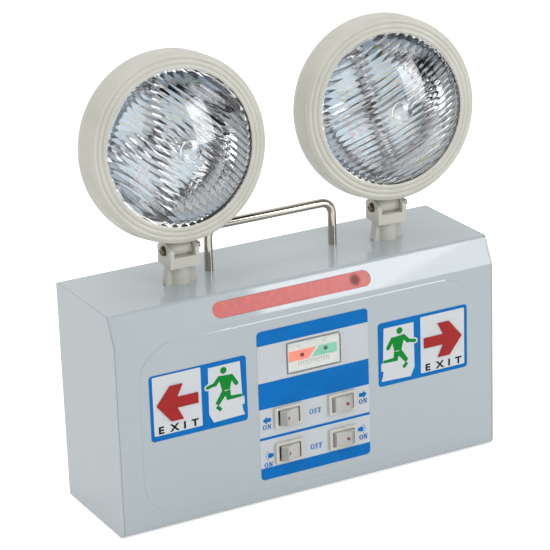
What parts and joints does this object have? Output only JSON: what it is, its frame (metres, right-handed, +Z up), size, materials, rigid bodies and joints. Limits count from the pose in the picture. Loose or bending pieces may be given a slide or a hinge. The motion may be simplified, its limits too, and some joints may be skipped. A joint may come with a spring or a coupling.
{
  "type": "emergency exit light",
  "caption": "Twin-head emergency exit light: folded steel cabinet with rocker switches, arrow signs, a carrying handle and swivelling, tilting lamps.",
  "frame": {"origin": "centre of the cabinet's underside", "axes": "+X to the right of someone facing the front, +Y towards the wall, +Z up; the front faces -Y"},
  "size_m": [0.3053, 0.0971, 0.3229],
  "materials": {
    "cabinet_paint": "gloss enamel, light bluish grey",
    "zinc_steel": "zinc plated",
    "bright_rod": "nickel plated",
    "lamp_plastic": "satin moulded, warm grey",
    "switch_plastic": "moulded, off-white",
    "rocker_plastic": "moulded, off-white",
    "clear_lens": "clear, fluted",
    "clear_plastic": "clear moulded",
    "red_lens": "translucent red",
    "red_arrow": "translucent red",
    "print_film": "printed film in white, blue and green",
    "meter_print": "printed card",
    "mirror_bowl": "metallised plastic",
    "white_board": "white solder mask",
    "led_phosphor": "yellow phosphor",
    "led_red": "round lamp, unlit",
    "led_green": "round lamp, unlit",
    "green_board": "circuit board with solder mask",
    "battery_case": "moulded",
    "soft_rubber": "moulded",
    "iron_core": "varnished laminations",
    "green_terminal": "moulded",
    "fuse_glass": "clear"
  },
  "bodies": {
    "cabinet": {"front_cover": "cabinet_paint", "left_side_plate": "cabinet_paint", "right_side_plate": "cabinet_paint", "back_plate": "cabinet_paint", "back_plate_screws": "zinc_steel", "cable_grommet": "soft_rubber", "handle": "bright_rod", "handle_nuts": "zinc_steel", "stem_nuts": "lamp_plastic", "window_lens": "red_lens", "window_board": "green_board", "window_led": "led_red", "control_label": "print_film", "meter_case": "clear_plastic", "meter_card": "meter_print", "meter_red_led": "led_red", "meter_green_led": "led_green", "battery": "battery_case", "battery_strap": "zinc_steel", "board_standoffs": "zinc_steel", "control_board": "green_board", "terminal_block": "green_terminal", "fuse_holder": "fuse_glass", "transformer": "iron_core", "left_sign_label": "print_film", "left_arrow_lens": "red_arrow", "left_arrow_board": "green_board", "left_stem": "lamp_plastic", "right_sign_label": "print_film", "right_arrow_lens": "red_arrow", "right_arrow_board": "green_board", "right_stem": "lamp_plastic", "upper_left_switch": "switch_plastic", "upper_right_switch": "switch_plastic", "lower_left_switch": "switch_plastic", "lower_right_switch": "switch_plastic"},
    "left_swivel": {"left_yoke": "lamp_plastic", "left_yoke_clip": "zinc_steel", "left_pivot_screw": "zinc_steel", "left_pivot_nut": "zinc_steel"},
    "left_head": {"left_lamp_shell": "lamp_plastic", "left_lamp_bezel": "lamp_plastic", "left_lamp_lens": "clear_lens", "left_reflector": "mirror_bowl", "left_led_board": "white_board", "left_led_chips": "led_phosphor"},
    "right_swivel": {"right_yoke": "lamp_plastic", "right_yoke_clip": "zinc_steel", "right_pivot_screw": "zinc_steel", "right_pivot_nut": "zinc_steel"},
    "right_head": {"right_lamp_shell": "lamp_plastic", "right_lamp_bezel": "lamp_plastic", "right_lamp_lens": "clear_lens", "right_reflector": "mirror_bowl", "right_led_board": "white_board", "right_led_chips": "led_phosphor"},
    "upper_left_rocker": {"upper_left_rocker": "rocker_plastic"},
    "upper_right_rocker": {"upper_right_rocker": "rocker_plastic"},
    "lower_left_rocker": {"lower_left_rocker": "rocker_plastic"},
    "lower_right_rocker": {"lower_right_rocker": "rocker_plastic"}
  },
  "joints": [
    {"name": "left_swivel_turn", "type": "hinge", "parent": "cabinet", "child": "left_swivel", "pos_m": [-0.0767, 0, 0.173], "axis": [0, 0, 1], "range_deg": [-90, 30]},
    {"name": "left_head_tilt", "type": "hinge", "parent": "left_swivel", "child": "left_head", "pos_m": [-0.0767, 0, 0.1842], "axis": [0.9998, -0.0175, 0], "range_deg": [-28, 25]},
    {"name": "right_swivel_turn", "type": "hinge", "parent": "cabinet", "child": "right_swivel", "pos_m": [0.089, 0, 0.173], "axis": [0, 0, 1], "range_deg": [-90, 90]},
    {"name": "right_head_tilt", "type": "hinge", "parent": "right_swivel", "child": "right_head", "pos_m": [0.089, 0, 0.1842], "axis": [0.9962, -0.0872, 0], "range_deg": [-28, 25]},
    {"name": "upper_left_rock", "type": "hinge", "parent": "cabinet", "child": "upper_left_rocker", "pos_m": [-0.02025, -0.0451, 0.063], "axis": [0, 0, 1], "range_deg": [-30, 0]},
    {"name": "upper_right_rock", "type": "hinge", "parent": "cabinet", "child": "upper_right_rocker", "pos_m": [0.02295, -0.0451, 0.063], "axis": [0, 0, 1], "range_deg": [0, 30]},
    {"name": "lower_left_rock", "type": "hinge", "parent": "cabinet", "child": "lower_left_rocker", "pos_m": [-0.02025, -0.0451, 0.0362], "axis": [0, 0, 1], "range_deg": [-30, 0]},
    {"name": "lower_right_rock", "type": "hinge", "parent": "cabinet", "child": "lower_right_rocker", "pos_m": [0.02295, -0.0451, 0.0362], "axis": [0, 0, 1], "range_deg": [0, 30]}
  ]
}
